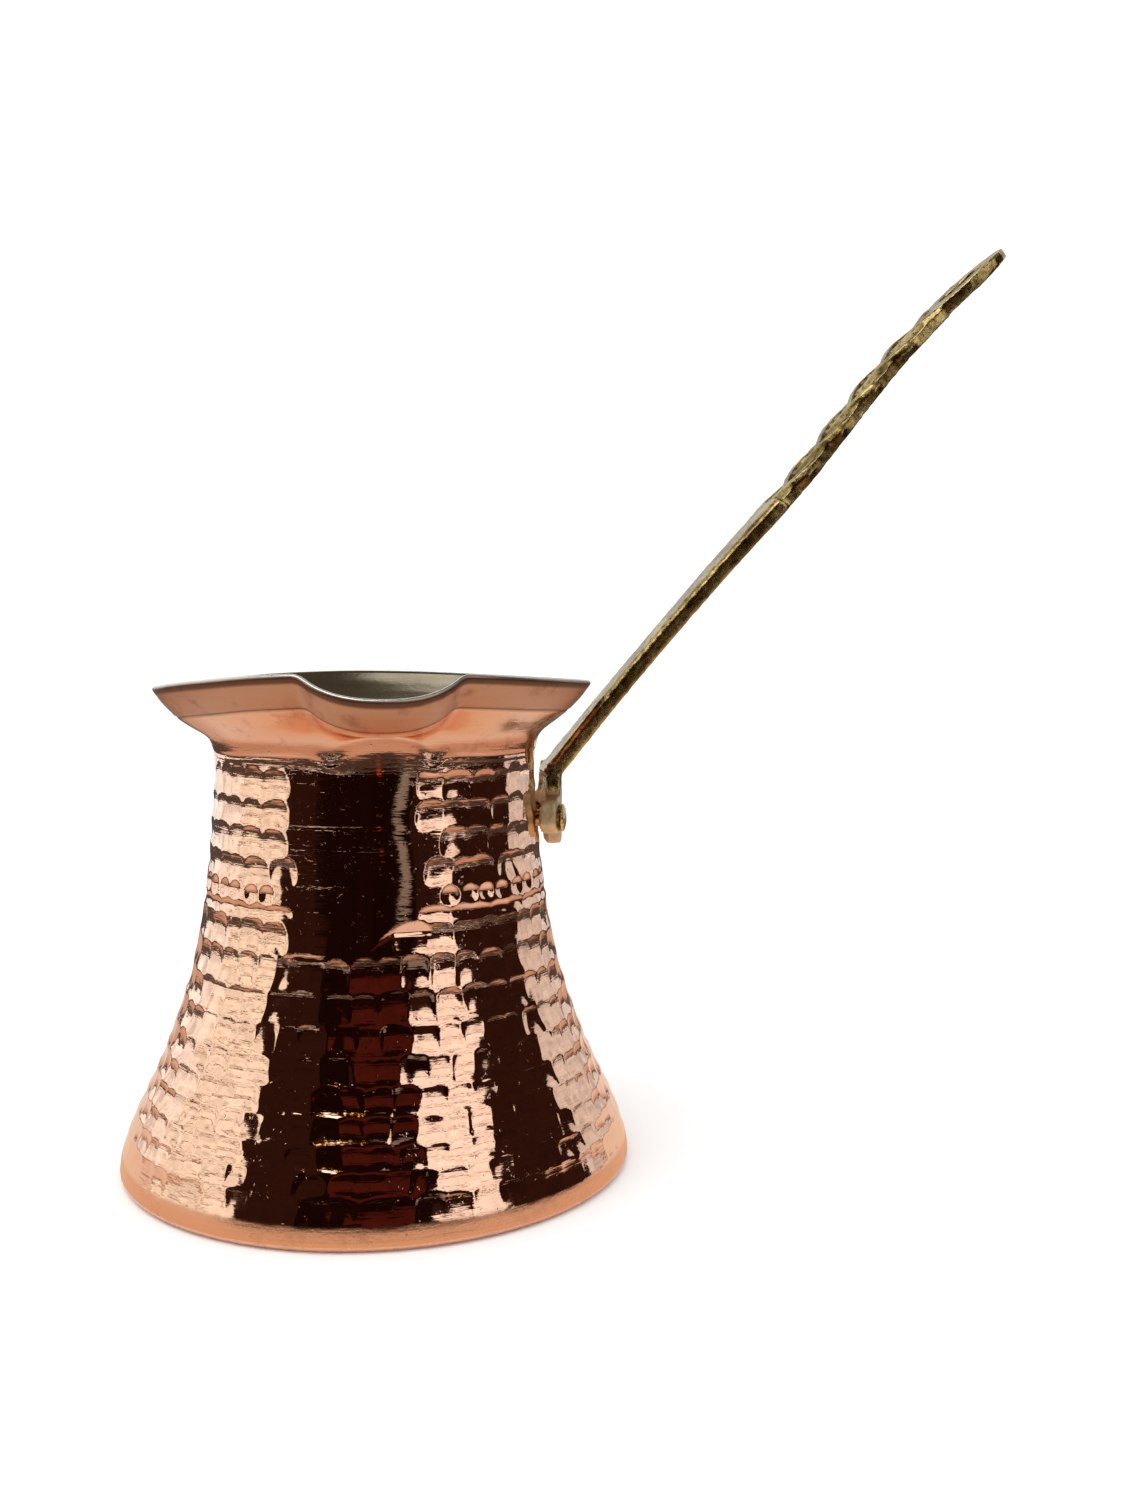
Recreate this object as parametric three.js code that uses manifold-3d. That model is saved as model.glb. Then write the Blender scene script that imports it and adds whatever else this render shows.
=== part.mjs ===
// A hammered copper coffee pot (cezve) with a pinched pouring lip, a tinned inside
// and a cast brass handle riveted to its neck. Millimetres, +Z up.
// The origin is the centre of the flat base, the handle points along +X and the lip along -Y.
import * as THREE from "three";
import { mergeVertices } from "three/addons/utils/BufferGeometryUtils.js";
import Module from "manifold-3d";

const wasm = await Module();
wasm.setup();

// ---------- driving dimensions ----------
const RIM_HEIGHT = 90; // top of the rim at the front and back
const BASE_RADIUS = 46.6; // widest, just above the base
const BASE_CORNER = 1.6; // rounding between the base and the side
const NECK_RADIUS = 29;
const RIM_RADIUS = 39.1;
const COPPER = 1.2; // wall thickness of the shell
const TIN = 0.3; // the lining, drawn thicker than a wiped coat of tin
const LINING_STOP = 0.25; // the lining ends this share of the last band short of the rim
const GAP = 0.3; // clearance between pieces that touch on the real pot

const LIP_START = 75; // height where the flare begins to follow the uneven rim
const LIP_FULL = 85;
const SPOUT_START = 78.5; // the neck runs up to here under the pouring lip
const SPOUT_DIP = 4.1; // how far the pouring lip dips below the rim
const SPOUT_REACH = 3; // how far it stands out past the rim
const SPOUT_HALF_ANGLE = 22 * (Math.PI / 180);
const SIDE_DROP = 2.1; // the rim is lower at its left and right sides
const SIDE_TWIST = 0.7; // and a little lower still away from the handle

const HANDLE_RISE = 49.3 * (Math.PI / 180); // above the horizontal
const HANDLE_ROOT = new THREE.Vector2(33.3, 70.7); // radius and height of the handle's zero mark
const SHAFT_LENGTH = 66;
const SHAFT_THICKNESS = 3;
const PLAIT_START = 60;
const PLAIT_END = 114;
const PLAIT_PITCH = 30; // length over which each strand comes back to its side
const PLAIT_SWING = 4.2; // sideways swing of a strand's centre
const PLAIT_LIFT = 0.35; // how far a strand rises where it crosses over
const STRAND_RADIUS = 1.5;
const WEB_WIDTH = 9.6; // the flat back that the strands stand on
const WEB_TOP = 0.6;
const EYE_START = 111;
const EYE_END = 131.2;
const EYE_WIDTH = 13;
const EYE_THICKNESS = 2.4;
const EYE_TAPER = 0.28; // the share of its thickness lost at the tip
const SLOT_LENGTH = 11;
const SLOT_WIDTH = 5.8;
const SLOT_CENTRE = 122;

const FOOT_MID_RADIUS = 16.9; // the foot is curved tighter than the neck
const FOOT_CENTRE_X = 15.9;
const FOOT_THICKNESS = 2.7;
const FOOT_LOW = 58.1;
const FOOT_HIGH = 73.5;

const RIVET_HEIGHT = 63.5;
const RIVET_ANGLE = 15.5 * (Math.PI / 180); // direction of a rivet's axis from +X
const RIVET_SEAT = new THREE.Vector2(31.75, 5.9); // a point on its axis, in plan
const RIVET_RADIUS = 1.5;
const RIVET_HOLE = 1.9;
const RIVET_HEAD = 2.6;

const AROUND = 52; // segments round the pot

// ---------- solids ----------
function toSolid(geometry) {
  const bare = geometry.index ? geometry.toNonIndexed() : geometry.clone();
  bare.deleteAttribute("normal");
  bare.deleteAttribute("uv");
  const merged = mergeVertices(bare, 1e-4);
  const mesh = new wasm.Mesh({
    numProp: 3,
    vertProperties: new Float32Array(merged.attributes.position.array),
    triVerts: new Uint32Array(merged.index.array),
  });
  return new wasm.Manifold(mesh);
}

function toGeometry(solid) {
  const mesh = solid.getMesh();
  const geometry = new THREE.BufferGeometry();
  geometry.setAttribute("position", new THREE.BufferAttribute(mesh.vertProperties, 3));
  geometry.setIndex(new THREE.BufferAttribute(mesh.triVerts, 1));
  geometry.computeVertexNormals();
  return geometry;
}

function moveVertices(geometry, place) {
  const position = geometry.getAttribute("position");
  const point = new THREE.Vector3();
  for (let i = 0; i < position.count; i++) {
    point.fromBufferAttribute(position, i);
    place(point);
    position.setXYZ(i, point.x, point.y, point.z);
  }
  return geometry;
}

// ---------- the pot ----------
const smooth = (x) => {
  const t = Math.min(Math.max(x, 0), 1);
  return t * t * (3 - 2 * t);
};

// The outside of the pot from the middle of the base to the edge of the rim, as radius and height,
// before the rim is shaped.
function outerProfile() {
  const corner = new THREE.EllipseCurve(
    BASE_RADIUS - BASE_CORNER, BASE_CORNER, BASE_CORNER, BASE_CORNER, -Math.PI / 2, 0,
  ).getPoints(2);
  const side = [
    [46, 5],
    [44.3, 9.8],
    [42.2, 14.4],
    [39.4, 20.4],
    [36.6, 27.4],
    [34, 35.4],
    [32, 44],
    [30.5, 54],
    [29.6, 64],
    [NECK_RADIUS, 73],
    [29.3, 77],
    [29.8, 79.2],
    [31.1, 81],
    [33.6, 83.2],
    [36, 85.3],
    [RIM_RADIUS, RIM_HEIGHT - 0.8],
  ].map(([r, z]) => new THREE.Vector2(r, z));
  return [new THREE.Vector2(0, 0), ...corner, ...side];
}

const outside = outerProfile();

// The same outline at an angle from the front: the rim is low at the sides,
// and a lip is pinched out and down at the front.
function formedOutline(angle) {
  const across = Math.sin(angle);
  const fromFront = Math.atan2(across, Math.cos(angle)) / SPOUT_HALF_ANGLE;
  const pinch = Math.abs(fromFront) < 1 ? Math.cos((fromFront * Math.PI) / 2) ** 2 : 0;
  const drop = (SIDE_DROP - SIDE_TWIST * across) * across * across;
  return outside.map((point) => {
    const share = smooth((point.y - LIP_START) / (LIP_FULL - LIP_START));
    const spout = pinch * smooth((point.y - SPOUT_START) / (LIP_FULL - SPOUT_START));
    const height = point.y - drop * share - SPOUT_DIP * spout;
    return new THREE.Vector2(point.x + SPOUT_REACH * spout, height);
  });
}

// An outline moved towards the inside of the pot by a distance.
function inset(outline, distance) {
  const last = outline.length - 1;
  const moved = outline.map((point, i) => {
    const before = outline[Math.max(i - 1, 0)];
    const after = outline[Math.min(i + 1, last)];
    const along = after.clone().sub(before).normalize();
    return new THREE.Vector2(point.x - along.y * distance, point.y + along.x * distance);
  });
  moved[0].set(0, distance);
  moved[1].set(outline[1].x - 0.4 * distance, distance);
  return moved;
}

// Turns an outline round the pot's axis, where sectionAt gives the outline for each angle.
// The outline starts and ends on the axis.
function turned(sectionAt) {
  const lathe = new THREE.LatheGeometry(sectionAt(0), AROUND);
  const position = lathe.getAttribute("position");
  for (let i = 0; i <= AROUND; i++) {
    const angle = (2 * Math.PI * (i % AROUND)) / AROUND;
    const section = sectionAt(angle);
    section.forEach((point, j) => {
      const at = i * section.length + j;
      position.setXYZ(at, point.x * Math.sin(angle), point.y, point.x * Math.cos(angle));
    });
  }
  return lathe.rotateX(Math.PI / 2);
}

// The pot as a full solid, shrunk by a distance all over.
// endOf(below, rim) gives the points that finish the outline, from its last two.
function filledPot(distance, endOf, height) {
  return toSolid(
    turned((angle) => {
      const outline = inset(formedOutline(angle), distance);
      const [below, rim] = outline.slice(-2);
      return [...outline.slice(0, -1), ...endOf(below, rim), new THREE.Vector2(0, height)];
    }),
  );
}

const roundedRim = (below, rim) => [rim, rim.clone().add(new THREE.Vector2(-0.5, 0.8))];
const shortOfRim = (below, rim) => [rim.clone().lerp(below, LINING_STOP)];
const pastRim = (below, rim) => [rim, rim.clone().lerp(below, -1)];
const CUTTER_HEIGHT = RIM_HEIGHT + 6;

const rivetSides = [-1, 1];

function rivetTransform(side) {
  const direction = new THREE.Vector3(Math.cos(RIVET_ANGLE), side * Math.sin(RIVET_ANGLE), 0);
  const turn = new THREE.Quaternion().setFromUnitVectors(new THREE.Vector3(0, 1, 0), direction);
  const seat = new THREE.Vector3(RIVET_SEAT.x, side * RIVET_SEAT.y, RIVET_HEIGHT);
  return new THREE.Matrix4().compose(seat, turn, new THREE.Vector3(1, 1, 1));
}

function drillForRivets(solid) {
  return rivetSides.reduce((drilled, side) => {
    const drill = new THREE.CylinderGeometry(RIVET_HOLE, RIVET_HOLE, 16, 16);
    return drilled.subtract(toSolid(drill.applyMatrix4(rivetTransform(side))));
  }, solid);
}

const liningOutside = COPPER + GAP;
const copperInside = filledPot(COPPER, pastRim, CUTTER_HEIGHT);
const tinInside = filledPot(liningOutside + TIN, pastRim, CUTTER_HEIGHT);
const copperShell = filledPot(0, roundedRim, RIM_HEIGHT).subtract(copperInside);
const tinShell = filledPot(liningOutside, shortOfRim, RIM_HEIGHT).subtract(tinInside);
const potBody = drillForRivets(copperShell);
const tinLining = drillForRivets(tinShell);

// ---------- the handle ----------
// The handle is made straight along +X from its zero mark, with +Y across it and +Z out of
// its upper face, and is then laid along its gently bowed centre line.
const bow = new THREE.SplineCurve(
  [
    [-8, 1.3],
    [20, 2],
    [48, 2],
    [72, 1.5],
    [98, 2.5],
    [112, 2],
    [122, 1.1],
    [134, -0.2],
  ].map(([x, y]) => new THREE.Vector2(x, y)),
);
const BOW_START = -8;
const BOW_LENGTH = 142;

function layAlongHandle(point) {
  const share = Math.min(Math.max((point.x - BOW_START) / BOW_LENGTH, 0), 1);
  const centre = bow.getPointAt(share);
  const tangent = bow.getTangentAt(share);
  const along = point.x - tangent.y * point.z;
  const above = centre.y + tangent.x * point.z;
  const [c, s] = [Math.cos(HANDLE_RISE), Math.sin(HANDLE_RISE)];
  point.set(HANDLE_ROOT.x + along * c - above * s, point.y, HANDLE_ROOT.y + along * s + above * c);
}

// The shaft is a flat bar, waisted near its root and wider where the strands begin.
function shaft() {
  const half = 1; // the section is a unit wide, and widthAt stretches it
  const t = SHAFT_THICKNESS / 2;
  const section = new THREE.Shape();
  section.moveTo(-half, -t + 0.3);
  section.lineTo(-half * 0.9, -t);
  section.lineTo(half * 0.9, -t);
  section.lineTo(half, -t + 0.3);
  section.lineTo(half, t - 0.7);
  section.lineTo(half * 0.8, t);
  section.lineTo(-half * 0.8, t);
  section.lineTo(-half, t - 0.7);
  section.closePath();
  const bar = new THREE.ExtrudeGeometry(section, {
    depth: SHAFT_LENGTH + 1,
    steps: 8,
    bevelEnabled: false,
  });
  // the extrusion runs along +Z: turn it to run along +X with the section's x across
  bar.applyMatrix4(new THREE.Matrix4().set(0, 0, 1, -1, 1, 0, 0, 0, 0, 1, 0, 0, 0, 0, 0, 1));
  const widthAt = new THREE.SplineCurve([
    new THREE.Vector2(0, 4.6),
    new THREE.Vector2(10, 3.7),
    new THREE.Vector2(40, 4.2),
    new THREE.Vector2(SHAFT_LENGTH, 5.2),
  ]);
  return moveVertices(bar, (point) => {
    const share = Math.min(Math.max(point.x / SHAFT_LENGTH, 0), 1);
    point.y *= widthAt.getPoint(share).y;
  });
}

// One of the three strands of the plait, as a tube that weaves over and under.
function strand(index) {
  const steps = 26;
  const points = [];
  for (let i = 0; i <= steps; i++) {
    const share = i / steps;
    const along = PLAIT_START + share * (PLAIT_END - PLAIT_START);
    const phase = (2 * Math.PI * (along - PLAIT_START)) / PLAIT_PITCH + (index * 2 * Math.PI) / 3;
    const swing = PLAIT_SWING * smooth(0.45 + 5 * share) * smooth(0.55 + 5 * (1 - share));
    points.push(
      new THREE.Vector3(along, swing * Math.sin(phase), PLAIT_LIFT * Math.sin(2 * phase)),
    );
  }
  const sides = 6;
  const section = new THREE.Shape();
  for (let i = 0; i < sides; i++) {
    const angle = (2 * Math.PI * (i + 0.5)) / sides;
    const [x, y] = [STRAND_RADIUS * Math.cos(angle), STRAND_RADIUS * Math.sin(angle)];
    if (i) section.lineTo(x, y);
    else section.moveTo(x, y);
  }
  return new THREE.ExtrudeGeometry(section, {
    extrudePath: new THREE.CatmullRomCurve3(points),
    steps,
    bevelEnabled: false,
  });
}

// The flat back of the plait, which fills the gaps between the strands.
function web() {
  const bottom = -STRAND_RADIUS;
  const plate = new THREE.BoxGeometry(PLAIT_END - PLAIT_START, WEB_WIDTH, WEB_TOP - bottom, 12, 2, 1);
  return plate.translate((PLAIT_START + PLAIT_END) / 2, 0, (WEB_TOP + bottom) / 2);
}

// The hanging eye: a flat leaf with a slot through it, thinner at its tip.
function eye() {
  const half = EYE_WIDTH / 2;
  const leaf = new THREE.Shape();
  leaf.moveTo(EYE_START, -half * 0.5);
  leaf.quadraticCurveTo(SLOT_CENTRE - 6, -half, SLOT_CENTRE, -half);
  leaf.quadraticCurveTo(EYE_END - 1, -half, EYE_END, -1.2);
  leaf.lineTo(EYE_END, 1.2);
  leaf.quadraticCurveTo(EYE_END - 1, half, SLOT_CENTRE, half);
  leaf.quadraticCurveTo(SLOT_CENTRE - 6, half, EYE_START, half * 0.5);
  leaf.closePath();
  const slot = new THREE.Path();
  const [slotEnd, slotBend] = [SLOT_WIDTH / 2, (SLOT_LENGTH - SLOT_WIDTH) / 2];
  slot.absarc(SLOT_CENTRE + slotBend, 0, slotEnd, Math.PI / 2, -Math.PI / 2, true);
  slot.absarc(SLOT_CENTRE - slotBend, 0, slotEnd, -Math.PI / 2, -1.5 * Math.PI, true);
  slot.closePath();
  leaf.holes.push(slot);
  const plate = new THREE.ExtrudeGeometry(leaf, {
    depth: EYE_THICKNESS,
    curveSegments: 6,
    bevelEnabled: false,
  });
  plate.translate(0, 0, -EYE_THICKNESS / 2);
  return moveVertices(plate, (point) => {
    point.z *= 1 - EYE_TAPER * smooth((point.x - SLOT_CENTRE) / (EYE_END - SLOT_CENTRE));
  });
}

// The foot: a three-lobed plate curved round the neck. Its outline is cut through a curved band.
function foot() {
  const band = new THREE.Shape();
  const reach = 0.8;
  const [inner, outer] = [
    FOOT_MID_RADIUS - FOOT_THICKNESS / 2,
    FOOT_MID_RADIUS + FOOT_THICKNESS / 2,
  ];
  band.absarc(FOOT_CENTRE_X, 0, outer, -reach, reach, false);
  band.absarc(FOOT_CENTRE_X, 0, inner, reach, -reach, true);
  band.closePath();
  const curved = new THREE.ExtrudeGeometry(band, {
    depth: FOOT_HIGH - FOOT_LOW + 2,
    curveSegments: 12,
    bevelEnabled: false,
  }).translate(0, 0, FOOT_LOW - 1);

  // half of the outline, from the tip of the tongue round a side lobe to the root of the shaft
  const outline = new THREE.Shape();
  const half = (side) => [
    [[3 * side, FOOT_LOW], [3 * side, FOOT_LOW + 2.2]],
    [[3.2 * side, 60.7], [5.2 * side, 60.6]],
    [[9 * side, 60.4], [8.8 * side, RIVET_HEIGHT]],
    [[8.6 * side, 66.8], [6.6 * side, 67.2]],
    [[4.8 * side, 67.8], [4.6 * side, FOOT_HIGH]],
  ];
  outline.moveTo(0, FOOT_LOW);
  const right = half(1);
  right.forEach(([control, end]) => outline.quadraticCurveTo(...control, ...end));
  const left = half(-1);
  outline.lineTo(-4.6, FOOT_HIGH);
  for (let i = left.length - 1; i >= 0; i--) {
    const end = i ? left[i - 1][1] : [0, FOOT_LOW];
    outline.quadraticCurveTo(...left[i][0], ...end);
  }
  const cutter = new THREE.ExtrudeGeometry(outline, {
    depth: 20,
    curveSegments: 5,
    bevelEnabled: false,
  });
  // the outline's x runs across the foot and its y is height; the extrusion runs outwards
  cutter.applyMatrix4(new THREE.Matrix4().set(0, 0, 1, 20, 1, 0, 0, 0, 0, 1, 0, 0, 0, 0, 0, 1));
  return toSolid(curved).intersect(toSolid(cutter));
}

const straightPieces = [shaft(), web(), eye(), ...[0, 1, 2].map(strand)];
const laid = straightPieces.map((geometry) => toSolid(moveVertices(geometry, layAlongHandle)));
const bar = laid.reduce((joined, solid) => joined.add(solid));
const potWithGap = filledPot(-GAP, pastRim, CUTTER_HEIGHT);
const handle = drillForRivets(bar.add(foot()).subtract(potWithGap));

// ---------- the rivets ----------
// A domed head outside, a flatter peened head inside, and the shank between them.
function rivet(side) {
  const [insideFace, outsideFace] = [-5.25, 1.7];
  const dome = new THREE.EllipseCurve(0, outsideFace + 0.2, RIVET_HEAD, 0.6, 0, Math.PI / 2);
  const profile = [
    new THREE.Vector2(0, insideFace - 1),
    new THREE.Vector2(1.8, insideFace - 0.8),
    new THREE.Vector2(RIVET_HEAD, insideFace - 0.2),
    new THREE.Vector2(RIVET_HEAD, insideFace),
    new THREE.Vector2(RIVET_RADIUS, insideFace),
    new THREE.Vector2(RIVET_RADIUS, outsideFace),
    new THREE.Vector2(RIVET_HEAD, outsideFace),
    ...dome.getPoints(4).slice(0, -1),
    new THREE.Vector2(0, outsideFace + 0.8),
  ];
  return new THREE.LatheGeometry(profile, 16).applyMatrix4(rivetTransform(side));
}

// ---------- assembly ----------
const copper = new THREE.MeshStandardMaterial({ color: 0xc8704a, roughness: 0.2, metalness: 1 });
const tin = new THREE.MeshStandardMaterial({ color: 0xb9bab4, roughness: 0.45, metalness: 1 });
const brass = new THREE.MeshStandardMaterial({ color: 0xb8963f, roughness: 0.35, metalness: 1 });

const cezve = new THREE.Group();

function place(name, geometry, material) {
  const mesh = new THREE.Mesh(geometry, material);
  mesh.name = name;
  cezve.add(mesh);
}

place("pot_body", toGeometry(potBody), copper);
place("tin_lining", toGeometry(tinLining), tin);
place("handle", toGeometry(handle), brass);
place("rivet_front", rivet(-1), brass);
place("rivet_back", rivet(1), brass);

export default cezve;
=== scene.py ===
"""The looks of a hammered copper coffee pot (cezve) with a cast brass handle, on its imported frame.

Shapes are worked out in millimetres round the pot's axis and turned into metres when a mesh is made.
An angle round the pot is measured from the pouring lip (-Y) towards the handle (+X).
"""

import math

import bmesh
import bpy
import numpy as np
from mathutils import Matrix, Vector, noise


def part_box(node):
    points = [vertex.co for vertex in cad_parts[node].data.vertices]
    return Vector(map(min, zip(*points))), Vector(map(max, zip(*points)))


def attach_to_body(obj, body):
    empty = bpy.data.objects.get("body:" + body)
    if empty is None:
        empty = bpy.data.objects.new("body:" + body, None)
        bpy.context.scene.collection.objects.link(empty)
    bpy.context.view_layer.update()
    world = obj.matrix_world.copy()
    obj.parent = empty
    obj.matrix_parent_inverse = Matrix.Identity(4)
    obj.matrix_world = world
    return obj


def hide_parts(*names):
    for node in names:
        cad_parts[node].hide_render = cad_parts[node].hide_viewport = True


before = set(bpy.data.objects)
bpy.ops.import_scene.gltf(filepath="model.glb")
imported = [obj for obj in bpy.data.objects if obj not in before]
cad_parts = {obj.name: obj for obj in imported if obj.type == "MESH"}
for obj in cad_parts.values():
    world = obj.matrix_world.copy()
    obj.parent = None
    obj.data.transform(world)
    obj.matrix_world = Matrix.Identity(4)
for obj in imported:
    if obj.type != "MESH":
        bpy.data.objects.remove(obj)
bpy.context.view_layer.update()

MM = 0.001
rng = np.random.default_rng(7)

# ---------- driving dimensions, in millimetres ----------
_, pot_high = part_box("pot_body")
RIM_HEIGHT = pot_high.z / MM
BASE_RADIUS = pot_high.x / MM
BASE_CORNER = 1.6
NECK_RADIUS = 29.0
RIM_RADIUS = 39.1
COPPER = 1.2
LINING_INSET = 1.5
LINING_SKIN = 0.25
BASE_HOLLOW = ((12, 0.25), (26, 0.22), (38, 0.1), (43.5, 0))  # radius and height of its rings
FLOOR_RADII = (30, 12)
LINING_FLOOR_RADII = (10, 22, 34, 42)

# the rim: its pouring lip, a fold on each side of the lip, and the sag of the rim's two sides
LIP_START, LIP_FULL = 75.0, 85.0
SPOUT_START = 78.5
SPOUT_DIP, SPOUT_REACH = 4.1, 3.0
SPOUT_HALF_ANGLE = math.radians(19.5)
FOLDS = ((-16, 1.0), (17, 1.3))  # direction in degrees and strength
FOLD_WIDTH = 4.5
FOLD_DEPTH = 0.45
CRIMP = (75, 86, 4, 4)  # heights between which the folds pinch the flare, and how they fade
NECK_BEND = (72, 81, 4, 3)  # the same for the wave that they leave in the neck's upper edge
SIDE_DROP, SIDE_TWIST = 2.1, 0.7

# the side, as radius and height, from the base corner to the crease under the rim's band
CREASE = (35.2, 84.6)
BAND_MIDDLE = (37.4, 86.9)
SIDE_POINTS = [
    (46, 5),
    (44.3, 9.8),
    (42.2, 14.4),
    (39.4, 20.4),
    (36.6, 27.4),
    (34, 35.4),
    (32, 44),
    (30.5, 54),
    (29.6, 64),
    (NECK_RADIUS, 73),
    (29.3, 77),
    (29.8, 79.2),
    (31.1, 81),
    (33.6, 83.2),
]
FLARE_FOOT = 76.0
GROOVE_WIDTH, GROOVE_DEPTH = 0.3, 0.16
SKIN = 0.05  # how far the looks stand inside the CAD's surface, so that waves stay within it

# the hammer marks
BAND_TOP = 4.3  # the smooth band under the lowest row
HAMMER_TOP = 74.2
NECK_ROWS = 4
MARK_WIDTH = 4.6
MARK_DEPTH = 0.27
SHALLOW_BELOW = 24.0
PUNCHED_ROW = (54.9, 51.7)  # a row of small deep punches, from this height to this
PUNCH_SPACING, PUNCH_RADIUS, PUNCH_DEPTH = 3.9, 1.7, 0.5
LOW_ROW_FOOT = 49.3  # and a low row of marks under it
PANEL_ANGLES = (math.radians(-31), math.radians(16))  # left smooth under the lip
PANEL_FOOT = (43.3, 47.4)  # height of the panel's lower edge at its left and right
PANEL_STEP_DEPTH = 0.24
NECK_LINES = ((76.1, 0.13, 0.45), (75.1, 0.1, 0.3), (74.4, 0.08, 0.3))  # height, depth, width

FOOT_HIGH = 69.0  # the handle's foot is left dull as cast up to here

# fineness of the meshes
AROUND = 720  # columns round the pot
SIDE_STEP, BAND_STEP = 0.33, 0.25
RIM_ROWS = 6
INSIDE_STEP = 6  # the inside takes every sixth row of the outside
HANDLE_VOXEL, RIVET_VOXEL = 0.32, 0.2


# ---------- small helpers ----------
def smooth(x):
    t = np.clip(x, 0, 1)
    return t * t * (3 - 2 * t)


def within(height, low, high, rise, fall):
    """1 between two heights, fading in over the rise above the low one and out under the high one."""
    return smooth((height - low) / rise) * smooth((high - height) / fall)


def from_lip(angle):
    """The same angle between minus and plus half a turn from the pouring lip."""
    return (angle + math.pi) % (2 * math.pi) - math.pi


def path_length(radius, height):
    """Distance along an outline at each of its points."""
    return np.concatenate([[0], np.cumsum(np.hypot(np.diff(radius), np.diff(height)))])


def spline(points, per_span):
    """A Catmull-Rom curve through the points, as an array."""
    points = np.array(points, float)
    padded = np.vstack([2 * points[0] - points[1], points, 2 * points[-1] - points[-2]])
    out = []
    for p0, p1, p2, p3 in zip(padded, padded[1:], padded[2:], padded[3:]):
        slope, bow, twist = p2 - p0, 2 * p0 - 5 * p1 + 4 * p2 - p3, 3 * p1 - p0 - 3 * p2 + p3
        for t in np.arange(per_span) / per_span:
            out.append(0.5 * (2 * p1 + slope * t + bow * t**2 + twist * t**3))
    return np.array([*out, points[-1]])


def spaced(line, step):
    """The same line with its points a step apart."""
    run = path_length(line[:, 0], line[:, 1])
    at = np.linspace(0, run[-1], max(2, round(run[-1] / step) + 1))
    return np.column_stack([np.interp(at, run, line[:, k]) for k in range(2)])


def add_mesh(name, vertices, faces, materials, smooth_shading=True):
    mesh = bpy.data.meshes.new(name)
    mesh.from_pydata(np.asarray(vertices, float) * MM, [], faces)
    mesh.validate()
    mesh.update()
    for material in materials:
        mesh.materials.append(material)
    if smooth_shading:
        mesh.shade_smooth()
    piece = bpy.data.objects.new(name, mesh)
    bpy.context.scene.collection.objects.link(piece)
    return piece


def set_attribute(piece, name, values):
    attribute = piece.data.attributes.new(name, "FLOAT", "POINT")
    attribute.data.foreach_set("value", np.asarray(values, np.float32).ravel())


def turned_faces(rows, columns):
    """Quads of a grid of rows, each closed round the axis, with its two ends left for fans."""
    j, i = np.meshgrid(np.arange(rows - 1), np.arange(columns), indexing="ij")
    a, b = j * columns + i, j * columns + (i + 1) % columns
    return np.stack([a, b, b + columns, a + columns], -1).reshape(-1, 4).tolist()


def fan(centre, ring, upwards):
    pairs = zip(ring, ring[1:] + ring[:1])
    return [[centre, a, b] if upwards else [centre, b, a] for a, b in pairs]


def rings(radii, heights, columns):
    """Level rings as rows of a grid."""
    ones = np.ones((1, columns))
    return np.array(radii, float)[:, None] * ones, np.array(heights, float)[:, None] * ones


def turned_piece(name, rows_r, rows_z, angle, end_heights, material):
    """A closed piece of rows round the axis, its first and last row closed at their middles."""
    count, columns = rows_r.shape
    points = np.stack([rows_r * np.sin(angle), -rows_r * np.cos(angle), rows_z], -1)
    ends = [[0, 0, height] for height in end_heights]
    first, last = list(range(columns)), list(range((count - 1) * columns, count * columns))
    faces = turned_faces(count, columns)
    faces += fan(count * columns, first, False) + fan(count * columns + 1, last, True)
    return add_mesh(name, np.vstack([points.reshape(-1, 3), ends]), faces, [material])


# ---------- the pot's surface ----------
def outline():
    """The outside from the edge of the flat base to the edge of the rim, before the rim is shaped."""
    quarter = np.linspace(-math.pi / 2, 0, 7)
    corner_r = BASE_RADIUS - BASE_CORNER + BASE_CORNER * np.cos(quarter)
    corner_z = BASE_CORNER + BASE_CORNER * np.sin(quarter)
    corner = np.column_stack([corner_r, corner_z])
    side = spline([tuple(corner[-1]), *SIDE_POINTS, CREASE], 12)
    band = spline([CREASE, BAND_MIDDLE, (RIM_RADIUS, RIM_HEIGHT - 0.8)], 8)
    return np.vstack([corner[:-1], spaced(side, SIDE_STEP), spaced(band, BAND_STEP)[1:]])


def notch(angle):
    """How much of the pouring lip's dip there is at an angle, with its shoulders rounded."""
    turned = from_lip(angle)
    total = np.zeros_like(angle)
    spread = np.radians(np.linspace(-1.6, 1.6, 7))
    for shift in spread:
        total += 1 - np.clip(np.abs(turned + shift) / SPOUT_HALF_ANGLE, 0, 1) ** 2.4
    return total / len(spread)


def hump(angle, centre, width):
    """1 at a centre angle, fading out over a width, both in degrees."""
    turned = from_lip(angle - math.radians(centre))
    return np.exp(-((turned / math.radians(width)) ** 2))


def formed(radius, height, angle):
    """Shapes the rim: radius and height are one row each of the outline, angle one column each."""
    radius, height = radius[:, None], height[:, None]
    across = np.sin(angle)[None]
    lip = smooth((height - LIP_START) / (LIP_FULL - LIP_START))
    spout = smooth((height - SPOUT_START) / (LIP_FULL - SPOUT_START)) * notch(angle)[None]
    folds = sum(strength * hump(angle, centre, FOLD_WIDTH) for centre, strength in FOLDS)[None]
    crimp = within(height, *CRIMP) * folds
    raised = within(height, *NECK_BEND) * (1.3 * hump(angle, 1, 10)[None] - 1.1 * folds)
    drop = (SIDE_DROP - SIDE_TWIST * across) * across**2 * lip + SPOUT_DIP * spout
    return radius + SPOUT_REACH * spout - FOLD_DEPTH * crimp, height - drop + raised


def normals(radius, height):
    """Outward normals, in each column's own plane, of a grid of outline points."""
    along_r, along_z = np.gradient(radius, axis=0), np.gradient(height, axis=0)
    length = np.hypot(along_r, along_z)
    return along_z / length, -along_r / length


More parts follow.
